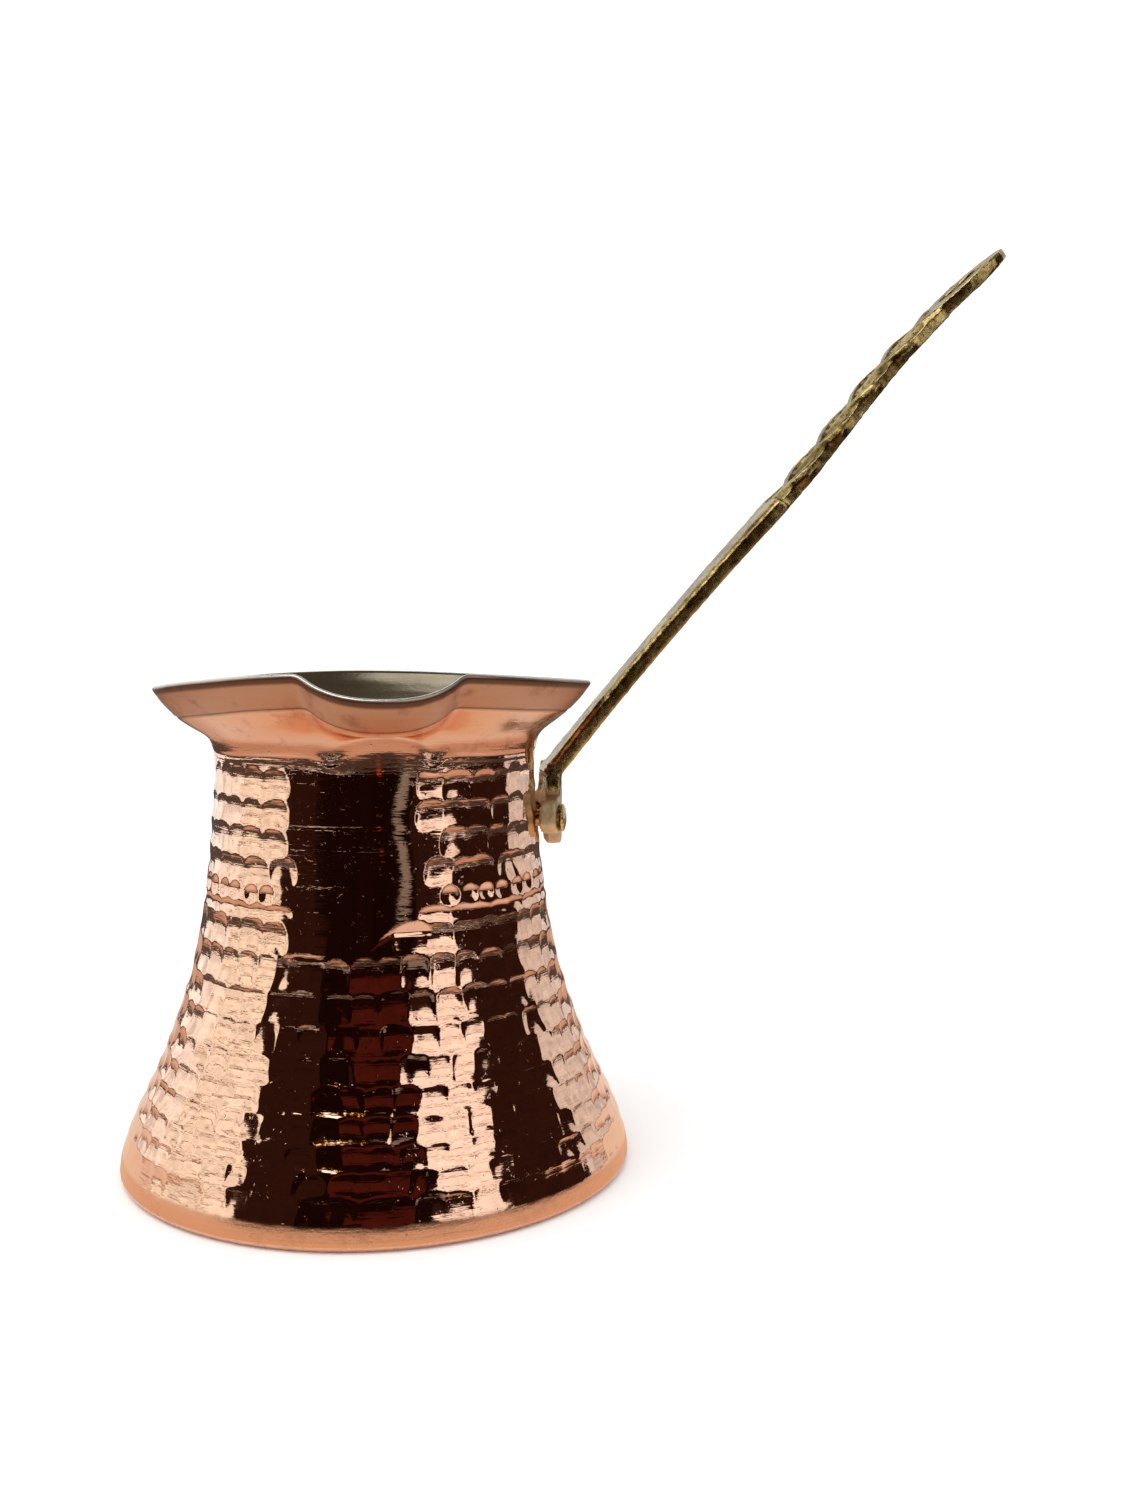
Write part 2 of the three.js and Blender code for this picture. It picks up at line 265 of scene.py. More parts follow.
# ---------- the hammer marks ----------
def row_heights():
    """Edges of the rows of marks, from the top down: tall rows at the neck, short ones at the base."""
    neck = np.linspace(HAMMER_TOP, PUNCHED_ROW[0], NECK_ROWS + 1)
    edges = [*neck, PUNCHED_ROW[1], LOW_ROW_FOOT]
    while edges[-1] > BAND_TOP + 2:
        edges.append(edges[-1] - min(2.5 + 0.072 * edges[-1], 5.4))
    edges[-1] = BAND_TOP
    return edges


def panel_edge(angle):
    """How far across the smooth panel an angle is, from 0 to 1, and the height of its lower edge."""
    low, high = PANEL_ANGLES
    share = (from_lip(angle) - low) / (high - low)
    left, right = PANEL_FOOT
    return share, left + (right - left) * smooth(share * 3 - 1.3)


def in_panel(angle, height):
    share, edge = panel_edge(angle)
    return (share > 0) & (share < 1) & (height > edge)


def mark_bowl(aside, along, lean, punched):
    """Height over a mark's bottom as a share of its depth, so 1 at its edge.

    A punch is round. A hammer's mark is flat across, arched at its top and leans a little.
    """
    if punched:
        return aside**2 + along**2
    arched = along + 0.2 * np.minimum(np.abs(aside), 1.3) ** 2
    return arched**2 + 0.36 * aside**4 + lean * aside


def hammered(radius, height, angle):
    """Depth of the hammer marks over the grid of rows and columns: negative is into the copper."""
    run = path_length(radius, height)
    depth = np.zeros((len(radius), len(angle)))
    step = 2 * math.pi / len(angle)
    edges = row_heights()
    for top, bottom in zip(edges, edges[1:]):
        low, high = np.interp([bottom, top], height, run)
        middle, half = (low + high) / 2, (high - low) / 2
        at = np.interp(middle, run, radius)
        punched = bottom == PUNCHED_ROW[1]
        spacing = PUNCH_SPACING if punched else MARK_WIDTH * rng.uniform(0.94, 1.06)
        count = round(2 * math.pi * at / spacing)
        start = rng.uniform(0, 2 * math.pi)
        row_depth = PUNCH_DEPTH if punched else MARK_DEPTH * (0.55 + 0.45 * min(top / SHALLOW_BELOW, 1))
        for k in range(count):
            centre = start + 2 * math.pi * (k + rng.uniform(-0.14, 0.14)) / count
            centre_run = middle + rng.uniform(-0.13, 0.13) * half
            half_width = PUNCH_RADIUS if punched else math.pi * at / count * rng.uniform(0.96, 1.16)
            half_height = half * rng.uniform(0.94, 1.06)
            sink = row_depth * rng.uniform(0.72, 1.2)
            if in_panel(centre, np.interp(centre_run, run, height)):
                continue
            lean = rng.uniform(-0.4, 0.4)
            rows = np.flatnonzero(np.abs(run - centre_run) < half_height * 1.6)
            reach = int(half_width * 1.25 / at / step) + 1
            columns = (round(centre / step) + np.arange(-reach, reach + 1)) % len(angle)
            aside = from_lip(angle[columns] - centre)[None] * radius[rows][:, None] / half_width
            along = (run[rows] - centre_run)[:, None] / half_height
            patch = np.ix_(rows, columns)
            bowl = sink * (mark_bowl(aside, along, lean, punched) - 1)
            depth[patch] = np.minimum(depth[patch], bowl)
    return depth


def panel_foot(height, angle):
    """The sloping steps, facing down, where the hammered part begins under the smooth panel."""
    share, edge = panel_edge(angle)
    tall = np.interp(share, [0.06, 0.1, 0.3, 0.34], [0, 1.0, 0.5, 0])
    tall += np.interp(share, [0.52, 0.62, 0.92, 0.99], [0, 0.5, 2.3, 0])
    down = edge + tall - height[:, None]
    return -PANEL_STEP_DEPTH * np.where((down > 0) & (down < tall), down, 0)


def neck_lines(height, angle):
    """Thin turned grooves under the flare, broken off under the pouring lip."""
    beside = 1 - 0.95 * hump(angle, 0, 27)
    wander = 0.25 * np.sin(3 * angle + 1) + 0.15 * np.sin(7 * angle)
    total = 0
    for level, sink, width in NECK_LINES:
        total = total - sink * np.exp(-(((height[:, None] - level - wander) / width) ** 2))
    return total * beside


def uneven(height, angle):
    """Slow and fine waves left by hand work, each about a hundredth of a millimetre or less."""
    total = np.zeros((len(height), len(angle)))
    for _ in range(14):
        turns = rng.integers(2, 17)
        pitch = rng.uniform(8, 40)
        phase = rng.uniform(0, 2 * math.pi, 2)
        wave = np.sin(turns * angle[None] + phase[0] + height[:, None] / 60)
        total += 0.012 * wave * np.sin(2 * math.pi * height[:, None] / pitch + phase[1])
    for _ in range(9):
        pitch = rng.uniform(1.1, 4.5)
        phase = rng.uniform(0, 2 * math.pi, 2)
        turns = rng.integers(1, 6)
        strength = 0.7 + 0.5 * np.sin(turns * angle[None] + phase[0])
        total += 0.0011 * pitch * strength * np.sin(2 * math.pi * height[:, None] / pitch + phase[1])
    return total


# ---------- materials ----------
class Paint:
    """A material with a Principled shader, and short calls for the nodes it is built from.

    Noise scales count features per metre, and bump distances are in millimetres.
    """

    def __init__(self, name, **sockets):
        self.material = bpy.data.materials.new(name)
        self.material.use_nodes = True
        self.nodes = self.material.node_tree.nodes
        self.links = self.material.node_tree.links
        self.shader = self.nodes["Principled BSDF"]
        for socket, value in sockets.items():
            self.shader.inputs[socket.replace("_", " ")].default_value = value
        self.place = self.nodes.new("ShaderNodeTexCoord").outputs["Object"]

    def plug(self, socket, value):
        if isinstance(value, bpy.types.NodeSocket):
            self.links.new(value, socket)
        else:
            socket.default_value = value

    def scaled(self, scale):
        mapping = self.nodes.new("ShaderNodeMapping")
        mapping.inputs["Scale"].default_value = scale
        self.links.new(self.place, mapping.inputs["Vector"])
        return mapping.outputs["Vector"]

    def noise(self, scale, detail=3.0, rough=0.55, stretch=(1, 1, 1)):
        texture = self.nodes.new("ShaderNodeTexNoise")
        texture.inputs["Scale"].default_value = scale
        texture.inputs["Detail"].default_value = detail
        texture.inputs["Roughness"].default_value = rough
        self.links.new(self.scaled(stretch), texture.inputs["Vector"])
        return texture.outputs["Fac"]

    def attribute(self, name):
        node = self.nodes.new("ShaderNodeAttribute")
        node.attribute_name = name
        return node.outputs["Fac"]

    def remap(self, value, low, high, to_low=0.0, to_high=1.0):
        node = self.nodes.new("ShaderNodeMapRange")
        self.links.new(value, node.inputs["Value"])
        limits = {"From Min": low, "From Max": high, "To Min": to_low, "To Max": to_high}
        for socket, number in limits.items():
            node.inputs[socket].default_value = number
        return node.outputs["Result"]

    def math(self, operation, a, b):
        node = self.nodes.new("ShaderNodeMath")
        node.operation = operation
        node.use_clamp = operation == "ADD"
        self.plug(node.inputs[0], a)
        self.plug(node.inputs[1], b)
        return node.outputs[0]

    def mix(self, share, first, second):
        node = self.nodes.new("ShaderNodeMix")
        node.data_type = "RGBA"
        self.plug(node.inputs[0], share)
        self.plug(node.inputs[6], first)
        self.plug(node.inputs[7], second)
        return node.outputs[2]

    def bump(self, height, distance, strength=1.0, under=None):
        node = self.nodes.new("ShaderNodeBump")
        node.inputs["Distance"].default_value = distance * MM
        node.inputs["Strength"].default_value = strength
        self.links.new(height, node.inputs["Height"])
        if under is not None:
            self.links.new(under, node.inputs["Normal"])
        return node.outputs["Normal"]

    def glow(self, color):
        """Turns the material into one that only sends out light."""
        self.finish((0, 0, 0, 1), 1.0)
        self.links.new(color, self.shader.inputs["Emission Color"])
        self.shader.inputs["Emission Strength"].default_value = 1.0
        return self.material

    def finish(self, color, roughness, normal=None):
        self.plug(self.shader.inputs["Base Color"], color)
        self.plug(self.shader.inputs["Roughness"], roughness)
        if normal is not None:
            self.links.new(normal, self.shader.inputs["Normal"])
        return self.material


def copper_material():
    """Polished copper: fine turned lines, nicks and spots, matt or tinned where marked, and dark where
    marked: patina with painted shade under the rim's edge and in the crease, and a painted dark
    reflection on the rim's band.
    """
    paint = Paint("polished_copper", Metallic=1.0)
    lines = paint.noise(1.0, 2.0, 0.6, stretch=(30, 30, 2300))
    broad_lines = paint.noise(1.0, 1.0, 0.5, stretch=(14, 14, 800))
    nicks = paint.noise(1.0, 2.0, 0.6, stretch=(420, 420, 2300))
    clouds = paint.noise(60, 4.0)
    specks = paint.remap(paint.noise(900, 2.0, 0.7), 0.66, 0.76)
    blotches = paint.remap(paint.noise(210, 3.0, 0.6), 0.54, 0.74)
    grains = paint.noise(1700, 2.0, 0.6)
    patina_and_shade = paint.attribute("patina_and_shade")
    tinned = paint.attribute("tinned")
    matt = paint.attribute("matt")
    clean = paint.mix(clouds, (0.86, 0.51, 0.36, 1), (0.93, 0.60, 0.44, 1))
    clean = paint.mix(matt, clean, (0.76, 0.40, 0.25, 1))
    spotted = paint.math("MULTIPLY", blotches, paint.attribute("spots"))
    spotted = paint.math("ADD", spotted, paint.math("MULTIPLY", specks, 0.12))
    darkened = paint.mix(paint.math("MULTIPLY", spotted, 0.6), clean, (0.30, 0.13, 0.08, 1))
    # patina with painted shade under the rim's edge and in the crease groove, and a painted dark
    # reflection on the rim's band
    darkened = paint.mix(patina_and_shade, darkened, (0.07, 0.03, 0.02, 1))
    color = paint.mix(tinned, darkened, (0.72, 0.71, 0.67, 1))
    rough = paint.remap(lines, 0.3, 0.75, 0.03, 0.08)
    rough = paint.math("ADD", rough, paint.math("MULTIPLY", spotted, 0.22))
    rough = paint.math("ADD", rough, paint.math("MULTIPLY", patina_and_shade, 0.3))
    rough = paint.math("ADD", rough, paint.math("MULTIPLY", matt, 0.26))
    normal = paint.bump(broad_lines, 0.05, 0.5)
    normal = paint.bump(lines, 0.03, 0.5, under=normal)
    normal = paint.bump(nicks, 0.03, 0.5, under=normal)
    normal = paint.bump(specks, 0.04, 0.5, under=normal)
    normal = paint.bump(paint.math("MULTIPLY", grains, matt), 0.06, 0.6, under=normal)
    return paint.finish(color, rough, normal)


def tin_material():
    """Tin wiped round the inside by hand, dulled and stained by coffee, its colour darkened as painted
    shade inside the pot.
    """
    paint = Paint("wiped_tin", Metallic=1.0)
    clouds = paint.noise(70, 5.0, 0.6)
    wiping = paint.noise(1.0, 4.0, 0.6, stretch=(60, 60, 420))
    grains = paint.noise(1500, 2.0)
    stains = paint.remap(paint.noise(38, 4.0, 0.65), 0.5, 0.72)
    # painted shade: the tin's colour is made dark to stand for the shade inside the pot; the stains
    # below are the tin's own
    color = paint.mix(clouds, (0.09, 0.075, 0.05, 1), (0.30, 0.265, 0.20, 1))
    color = paint.mix(paint.math("MULTIPLY", stains, 0.6), color, (0.17, 0.14, 0.09, 1))
    rough = paint.remap(wiping, 0.3, 0.7, 0.16, 0.3)
    normal = paint.bump(wiping, 0.12, 0.5)
    normal = paint.bump(grains, 0.03, 0.5, under=normal)
    return paint.finish(color, rough, normal)


def brass_material(name, bright, dull, deep, grain_depth):
    """Cast brass: bright where it is worn, dull on its faces, dark in its hollows, pale where matt."""
    paint = Paint(name, Metallic=1.0)
    grains = paint.noise(2600, 3.0, 0.7)
    coarse = paint.noise(800, 4.0, 0.7)
    clouds = paint.noise(90, 4.0)
    wear = paint.attribute("wear")
    matt = paint.attribute("matt")
    color = paint.mix(paint.remap(clouds, 0.42, 0.72), dull, bright)
    hollows = paint.remap(coarse, 0.52, 0.36)
    color = paint.mix(paint.math("MULTIPLY", hollows, 0.7), color, deep)
    color = paint.mix(paint.remap(wear, 0.15, 0.8), color, bright)
    color = paint.mix(paint.remap(wear, -0.05, -0.5), color, deep)
    color = paint.mix(paint.math("MULTIPLY", matt, 0.8), color, (0.84, 0.69, 0.44, 1))
    rough = paint.remap(wear, 0.0, 0.8, 0.24, 0.12)
    rough = paint.math("ADD", rough, paint.math("MULTIPLY", matt, 0.3))
    rough = paint.math("ADD", rough, paint.remap(grains, 0.45, 0.7, 0.0, 0.1))
    normal = paint.bump(coarse, grain_depth * 2, 0.8)
    normal = paint.bump(grains, grain_depth, 0.8, under=normal)
    return paint.finish(color, rough, normal)


# ---------- the copper pot ----------
def crease_groove(radius, height):
    """1 in the turned groove between the flare and the rim's band, 0 away from it."""
    away = np.hypot(radius - CREASE[0], height - CREASE[1])
    return np.exp(-((away / GROOVE_WIDTH) ** 2))


def pot_relief(radius, height, angle):
    """All that is raised or sunk on the outside, over the grid of rows and columns."""
    relief = hammered(radius, height, angle)
    relief += panel_foot(height, angle) + neck_lines(height, angle)
    relief += uneven(height, angle) * smooth(height / 6)[:, None]
    relief -= GROOVE_DEPTH * crease_groove(radius, height)[:, None]
    relief -= SKIN * smooth((height - BAND_TOP + 1.2) / 1.2)[:, None]
    return np.minimum(relief, SKIN * smooth(height / 8)[:, None])


def rolled_rim(edge_r, edge_z, out_r, out_z):
    """Rows of the half circle that the rim is turned over in, from its edge and the way it faces."""
    bend = COPPER / 2
    turn = np.linspace(0, math.pi, RIM_ROWS + 1)[1:, None]
    rim_r = edge_r - out_r * bend + bend * (out_r * np.cos(turn) - out_z * np.sin(turn))
    rim_z = edge_z - out_z * bend + bend * (out_z * np.cos(turn) + out_r * np.sin(turn))
    return rim_r, rim_z


def mark_zones(pot, radius, height, row_count):
    """Sets how dark, tinned, spotted and matt the copper is, by height; the dark is patina with painted
    shade and a painted dark reflection.
    """

    def spread(name, outside, rim, rest):
        """One value for each row of the outside and of the rim, and one for all the other rows."""
        below = len(BASE_HOLLOW)
        above = row_count - below - len(outside) - RIM_ROWS
        rows = np.concatenate([np.full(below, rest), outside, rim, np.full(above, rest)])
        set_attribute(pot, name, np.append(np.repeat(rows, AROUND), [rest, rest]))

    band = smooth((height - CREASE[1]) / 0.4)
    rim_edge = smooth((1.9 - (RIM_HEIGHT - height)) / 0.8)
    # patina and painted shade: a dark line under the rolled rim's edge and in the crease groove, and a
    # painted dark reflection over the rim's band
    dark = np.maximum(0.85 * rim_edge + 0.8 * crease_groove(radius, height), 0.34 * band)
    spread("patina_and_shade", dark, [0.9, 0.5, 0, 0, 0, 0], 0.0)
    spread("tinned", 0 * height, [0, 0.5, 1, 1, 1, 1], 0.0)

    base_band = smooth(BAND_TOP - height)
    flare = smooth((height - FLARE_FOOT + 1) / 3)
    spread("spots", 0.75 * flare + 0.35 * base_band, np.full(RIM_ROWS, 0.5), 0.0)

    soft_band = smooth((height - CREASE[1] + 0.2) / 0.4)
    dull = 0.5 * smooth((height - FLARE_FOOT) / 3) + 0.8 * smooth((BAND_TOP + 0.4 - height) / 0.8)
    spread("matt", np.maximum(dull, 0.85 * soft_band), np.full(RIM_ROWS, 0.6), 0.8)


def copper_pot():
    line = outline()
    radius, height = line[:, 0], line[:, 1]
    angle = np.arange(AROUND) * 2 * math.pi / AROUND
    side_r, side_z = formed(radius, height, angle)
    normal_r, normal_z = normals(side_r, side_z)
    relief = pot_relief(radius, height, angle)
    side_r, side_z = side_r + normal_r * relief, side_z + normal_z * relief
    rim_r, rim_z = rolled_rim(side_r[-1], side_z[-1], normal_r[-1], normal_z[-1])

    # the inside follows the outside a wall's thickness away
    inner = np.arange(len(radius) - INSIDE_STEP, 3, -INSIDE_STEP)
    inner_r = side_r[inner] - normal_r[inner] * COPPER
    inner_z = side_z[inner] - normal_z[inner] * COPPER
    floor_r, floor_z = rings(FLOOR_RADII, [COPPER] * len(FLOOR_RADII), AROUND)
    base_r, base_z = rings(*zip(*BASE_HOLLOW), AROUND)

    rows_r = np.vstack([base_r, side_r, rim_r, inner_r, floor_r])
    rows_z = np.vstack([base_z, side_z, rim_z, inner_z, floor_z])
    middles = (BASE_HOLLOW[0][1], COPPER)
    pot = turned_piece("hammered_pot", rows_r, rows_z, angle, middles, copper_material())
    mark_zones(pot, radius, height, len(rows_r))
    return pot


# ---------- the tin lining ----------
def tin_lining():
    line = outline()[::2]
    radius, height = line[:, 0], line[:, 1]
    columns = AROUND // 2
    angle = np.arange(columns) * 2 * math.pi / columns
    wall_r, wall_z = formed(radius, height, angle)
    normal_r, normal_z = normals(wall_r, wall_z)
    ripple = 0.5 * hammered(radius, height, angle) + uneven(height, angle)
    ripple = np.clip(ripple, -0.12, 0.12)
    keep = (height > 2) & (height < RIM_HEIGHT - 1.0)

    def face(inset):
        """The lining's wall this far inside the pot's surface."""
        sunk = inset - ripple
        return (wall_r - normal_r * sunk)[keep], (wall_z - normal_z * sunk)[keep]

    outer_r, outer_z = face(LINING_INSET)
    inner_r, inner_z = face(LINING_INSET + LINING_SKIN)
    low = LINING_INSET + 0.05
    floor_r, under_z = rings(LINING_FLOOR_RADII, [low] * len(LINING_FLOOR_RADII), columns)
    over_z = under_z + LINING_SKIN + 0.04 * np.sin(3 * angle)
    rows_r = np.vstack([floor_r, outer_r, inner_r[::-1], floor_r[::-1]])
    rows_z = np.vstack([under_z, outer_z, inner_z[::-1], over_z])
    middles = (low, low + LINING_SKIN)
    return turned_piece("wiped_lining", rows_r, rows_z, angle, middles, tin_material())


# ---------- the cast handle and the rivets ----------
def surface_wear(mesh):
    """How far each vertex stands out of its neighbours: above 0 on edges, below 0 in hollows."""
    shape = bmesh.new()
    shape.from_mesh(mesh)
    wear = np.zeros(len(shape.verts))
    for vertex in shape.verts:
        near = [edge.other_vert(vertex).co for edge in vertex.link_edges]
        middle = sum(near, Vector()) / len(near)
        spread = sum((vertex.co - other).length for other in near) / len(near)
        wear[vertex.index] = (vertex.co - middle).dot(vertex.normal) / spread
    for _ in range(3):
        calm = wear.copy()
        for vertex in shape.verts:
            calm[vertex.index] = np.mean([wear[e.other_vert(vertex).index] for e in vertex.link_edges])
        wear = calm
    shape.free()
    return wear * 4


def remeshed(name, node, voxel, smoothing):
    """A fine, softened copy of a CAD node's shape."""
    piece = bpy.data.objects.new(name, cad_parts[node].data.copy())
    bpy.context.scene.collection.objects.link(piece)
    remesh = piece.modifiers.new("cast", "REMESH")
    remesh.mode = "VOXEL"
    remesh.voxel_size = voxel * MM
    soften = piece.modifiers.new("soften", "SMOOTH")
    soften.factor = 0.5
    soften.iterations = smoothing
    bpy.context.view_layer.update()
    evaluated = piece.evaluated_get(bpy.context.evaluated_depsgraph_get())
    mesh = bpy.data.meshes.new_from_object(evaluated)
    piece.modifiers.clear()
    piece.data = mesh
    mesh.shade_smooth()
    return piece


def roughen(mesh, swell, depth, scale):
    """Sand-cast skin: moves each vertex along its normal by a fixed amount and some noise.

    Both are in millimetres, and the scale counts the noise's features per metre.
    """
    places = np.zeros(3 * len(mesh.vertices), np.float32)
    mesh.vertices.foreach_get("co", places)
    places = places.reshape(-1, 3)
    outwards = np.zeros_like(places)
    mesh.vertex_normals.foreach_get("vector", outwards.ravel())
    rough = np.array([noise.fractal(Vector(place) * scale, 1.0, 2.0, 3) for place in places])
    places += outwards * (swell + depth * rough[:, None]) * MM
    mesh.vertices.foreach_set("co", places.ravel())
    mesh.update()


def cast_piece(name, node, voxel, smoothing, skin, brass):
    piece = remeshed(name, node, voxel, smoothing)
    wear = surface_wear(piece.data)
    roughen(piece.data, *skin)
    set_attribute(piece, "wear", wear)
    piece.data.materials.clear()
    piece.data.materials.append(brass)
    return piece


def brass_handle():
    bright, dull, deep = (0.74, 0.56, 0.23, 1), (0.22, 0.15, 0.05, 1), (0.04, 0.02, 0.007, 1)
    brass = brass_material("cast_brass", bright, dull, deep, 0.04)
    piece = cast_piece("cast_handle", "handle", HANDLE_VOXEL, 4, (0.04, 0.07, 700), brass)
    heights = np.array([vertex.co.z for vertex in piece.data.vertices]) / MM
    set_attribute(piece, "matt", smooth((FOOT_HIGH - heights) / 2.5))
    return piece


def brass_rivets():
    """The two rivets, by the name of the CAD node that each replaces."""
    bright, dull, deep = (0.82, 0.60, 0.28, 1), (0.52, 0.35, 0.15, 1), (0.14, 0.08, 0.03, 1)
    brass = brass_material("rivet_brass", bright, dull, deep, 0.02)
    skin = (0.03, 0.06, 900)
    nodes = ("rivet_front", "rivet_back")
    return {node: cast_piece("peened_" + node, node, RIVET_VOXEL, 3, skin, brass) for node in nodes}


# ---------- assembly ----------
def attach(piece, node):
    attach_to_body(piece, "root")
    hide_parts(node)


attach(copper_pot(), "pot_body")
attach(tin_lining(), "tin_lining")
attach(brass_handle(), "handle")
for rivet_node, rivet in brass_rivets().items():
    attach(rivet, rivet_node)


# ---------- studio ----------
FLOOR_SIZE = 700.0  # from the pot to the edge of the paper
CARD_DISTANCE = 1200.0
CARD_LAYER = 4.0
EYE_LEVEL = 50.0
CARD_LOW, CARD_HIGH = -13, 52  # elevations of the cards' lower and upper edges, in degrees


def glossy_only(piece):
    piece.visible_camera = False
    piece.visible_diffuse = False
    piece.visible_shadow = False
    piece.visible_transmission = False


def emitter(name, color):
    """An unevenly lit surface."""
    paint = Paint(name, Specular_IOR_Level=0.0)
    patches = paint.remap(paint.noise(7.0, 4.0, 0.6), 0.3, 0.7)
    dim, full = [(*(share * part for part in color), 1) for share in (0.6, 1.12)]
    return paint.glow(paint.mix(patches, dim, full))


def card(name, layer, edges, color):
    """A curved reflector seen only in the metal.

    Each edge is an elevation and its first and last angle, in degrees as seen from the pot's middle.
    A card on a higher layer stands in front of the others.
    """
    distance = CARD_DISTANCE - CARD_LAYER * layer
    steps = 24
    points = []
    for elevation, start, end in edges:
        height = EYE_LEVEL + distance * math.tan(math.radians(elevation))
        for a in np.radians(np.linspace(start, end, steps + 1)):
            points.append((distance * math.sin(a), -distance * math.cos(a), height))
    row = steps + 1
    corners = [j * row + i for j in range(len(edges) - 1) for i in range(steps)]
    faces = [[i, i + 1, i + row + 1, i + row] for i in corners]
    glossy_only(add_mesh(name, points, faces, [emitter(name, color)]))


def upright_card(name, layer, start, end, color):
    """A card between two angles, over the whole height of the cards."""
    card(name, layer, [(CARD_LOW, start, end), (CARD_HIGH, start, end)], color)


def room():
    """The pale sides and the dark front of the room round the pot."""
    dark, brown, red = (0.010, 0.003, 0.002), (0.030, 0.011, 0.007), (0.07, 0.012, 0.008)
    upright_card("side_left", 0, -178, -104, (1.25, 1.3, 1.3))
    upright_card("side_right", 0, 96, 178, (0.85, 0.86, 0.86))
    left_edges = [(CARD_LOW, -72, -48), (2, -70, -42), (7, -70, -34), (CARD_HIGH, -70, -34)]
    card("dark_left", 1, left_edges, brown)
    card("dark_middle", 0, [(CARD_LOW, -50, 26), (CARD_HIGH, -44, 26)], dark)
    card("dark_gap", 1, [(CARD_LOW, 23, 62), (CARD_HIGH, 20, 62)], brown)
    card("dark_right", 1, [(CARD_LOW, 52, 105), (1, 52, 100), (CARD_HIGH, 52, 100)], brown)
    card("red_middle", 1, [(13, -17, 13), (34, -19, 15)], red)
    card("gap_line", 2, [(-6, 15, 21), (2, 12.5, 19), (6, 10, 16)], (0.28, 0.26, 0.23))
    card("orange_cloth", 3, [(-9, -2, 1), (-3, -1, 1.2)], (0.8, 0.11, 0.03))


def windows():
    """The bright windows on both sides, with their glazing bars."""
    left_edges = [(-6, -109, -67), (5, -110, -65), (12, -112, -67), (25, -117, -68)]
    left_edges.append((CARD_HIGH, -117, -68))
    card("window_left", 2, left_edges, (1.22, 1.26, 1.18))
    right_edges = [
        (-5, 49, 54),
        (0, 43, 46.5),
        (4, 41.5, 47),
        (8, 37, 49),
        (10.5, 30, 51),
        (12, 29, 51),
        (15, 27.5, 55),
        (20, 24, 55),
        (26, 20, 55),
        (CARD_HIGH, 17, 55),
    ]
    card("window_right", 2, right_edges, (1.4, 1.38, 1.36))
    left_bars = [(3, -110, -65), (16, -113, -67), (29, -117, -68)]
    right_bars = [(4, 42, 47), (17, 26, 55), (31, 18, 55)]
    for number, (height, start, end) in enumerate(right_bars + left_bars):
        bar_edges = [(height, start, end), (height + 1.3, start, end)]
        card(f"glazing_bar_{number}", 3, bar_edges, (0.34, 0.22, 0.15))


def lamps():
    """A row of small yellow lamps, hung at uneven heights."""
    for number, angle in enumerate(range(-52, -12, 7)):
        height = 41 + 7 * rng.random()
        lamp_edges = [(height, angle, angle + 2.4), (height + 1.6, angle, angle + 2.4)]
        card(f"lamp_{number}", 3, lamp_edges, (2.4, 1.45, 0.2))


def ceiling():
    """The dim ceiling over the cards, seen only in the metal."""
    corners = 48
    height = EYE_LEVEL + CARD_DISTANCE * math.tan(math.radians(CARD_HIGH))
    angles = np.linspace(0, 2 * math.pi, corners, endpoint=False)
    points = [(CARD_DISTANCE * math.sin(a), CARD_DISTANCE * math.cos(a), height) for a in angles]
    plaster = emitter("ceiling", (0.26, 0.22, 0.17))
    glossy_only(add_mesh("ceiling", points, [list(range(corners))], [plaster]))


def table_reflection():
    """The table top as the metal sees it: warm by the pot, paler round it and dark further out."""
    steps = 96
    angles = np.arange(steps) * 2 * math.pi / steps
    radii = (BASE_RADIUS + 0.4, 80, 180, 400, FLOOR_SIZE - 1)
    points = [(r * math.sin(a), -r * math.cos(a), 0.3) for r in radii for a in angles]
    paint = Paint("table_glow")
    distance = paint.nodes.new("ShaderNodeVectorMath")
    distance.operation = "LENGTH"
    paint.links.new(paint.place, distance.inputs[0])
    color = (0.86, 0.63, 0.44, 1)
    for start, end, tint in (
        (48, 90, (0.84, 0.72, 0.63, 1)),
        (120, 200, (0.60, 0.38, 0.27, 1)),
        (290, 340, (0.05, 0.03, 0.02, 1)),
    ):
        share = paint.remap(distance.outputs["Value"], start * MM, end * MM)
        color = paint.mix(share, color, tint)
    faces = turned_faces(len(radii), steps)
    glossy_only(add_mesh("table_glow", points, faces, [paint.glow(color)]))


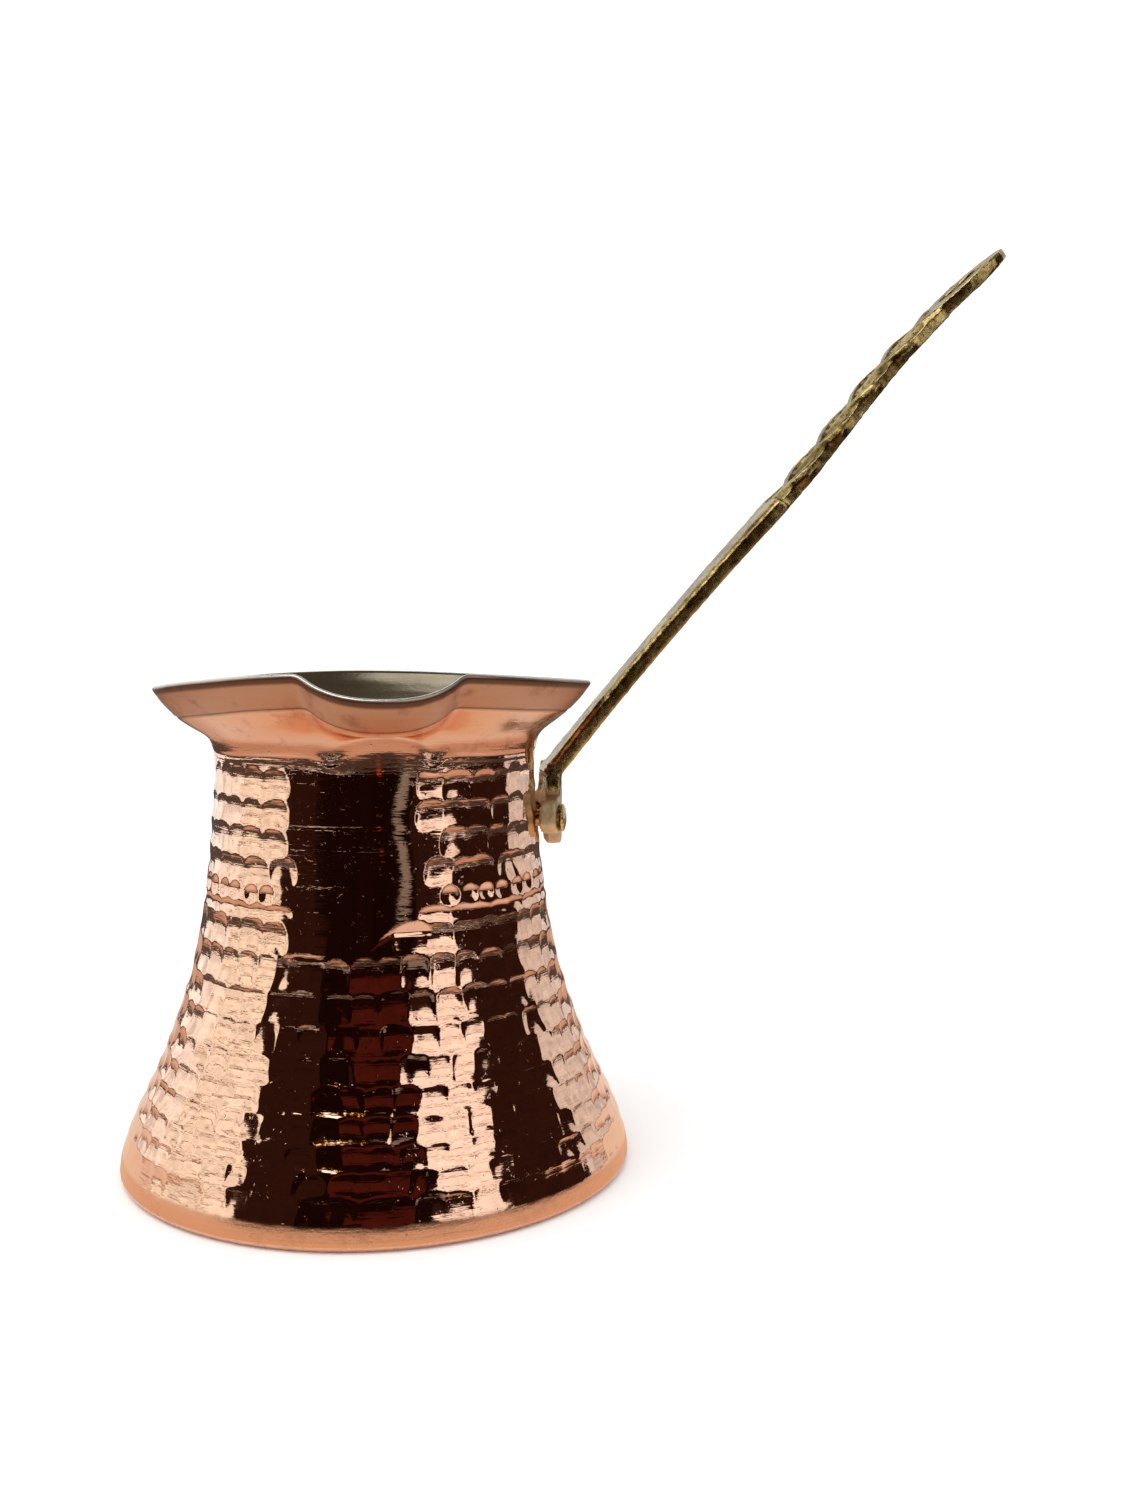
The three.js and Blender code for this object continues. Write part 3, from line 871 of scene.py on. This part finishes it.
def backdrop():
    """A sheet of pale paper under the pot, and white all round it."""
    corners = [(-1, -1), (1, -1), (1, 1), (-1, 1)]
    floor_points = [(x * FLOOR_SIZE, y * FLOOR_SIZE, 0) for x, y in corners]
    paper = Paint("pale_paper")
    paper.finish((0.96, 0.96, 0.96, 1), paper.remap(paper.noise(400), 0.3, 0.7, 0.75, 0.9))
    floor = add_mesh("floor", floor_points, [[0, 1, 2, 3]], [paper.material], False)

    world = bpy.data.worlds.new("studio")
    world.use_nodes = True
    background = world.node_tree.nodes["Background"]
    background.inputs["Color"].default_value = (1, 1, 1, 1)
    background.inputs["Strength"].default_value = 1.12
    bpy.context.scene.world = world


def softbox():
    light = bpy.data.lights.new("softbox", "AREA")
    light.size = 0.6
    light.energy = 2.5
    lamp = bpy.data.objects.new("softbox", light)
    lamp.location = (-0.3, -0.25, 0.9)
    lamp.rotation_euler = (-lamp.location).to_track_quat("-Z", "Y").to_euler()
    bpy.context.scene.collection.objects.link(lamp)


def camera():
    """In front, about as high as the rim: turned right, tilted down and rolled a little."""
    position = Vector((-5.8, -254.95, 91.19)) * MM
    heading, pitch, roll = 0.1714, 0.0964, 0.0054
    level = Vector((math.sin(heading), math.cos(heading), 0))
    ahead = level * math.cos(pitch) - Vector((0, 0, math.sin(pitch)))
    right = Vector((math.cos(heading), -math.sin(heading), 0))
    up = right.cross(ahead)
    rolled_right = right * math.cos(roll) + up * math.sin(roll)
    rolled_up = up * math.cos(roll) - right * math.sin(roll)
    data = bpy.data.cameras.new("camera")
    data.sensor_width = 36
    data.lens = 33.01
    data.shift_x = -0.0132
    data.shift_y = 0.0331
    data.clip_start, data.clip_end = 0.01, 50
    view = bpy.data.objects.new("camera", data)
    axes = Matrix((rolled_right, rolled_up, -ahead)).transposed().to_4x4()
    view.matrix_world = Matrix.Translation(position) @ axes
    bpy.context.scene.collection.objects.link(view)
    bpy.context.scene.camera = view


backdrop()
room()
windows()
lamps()
ceiling()
table_reflection()
softbox()
camera()
bpy.context.scene.view_settings.view_transform = "Standard"
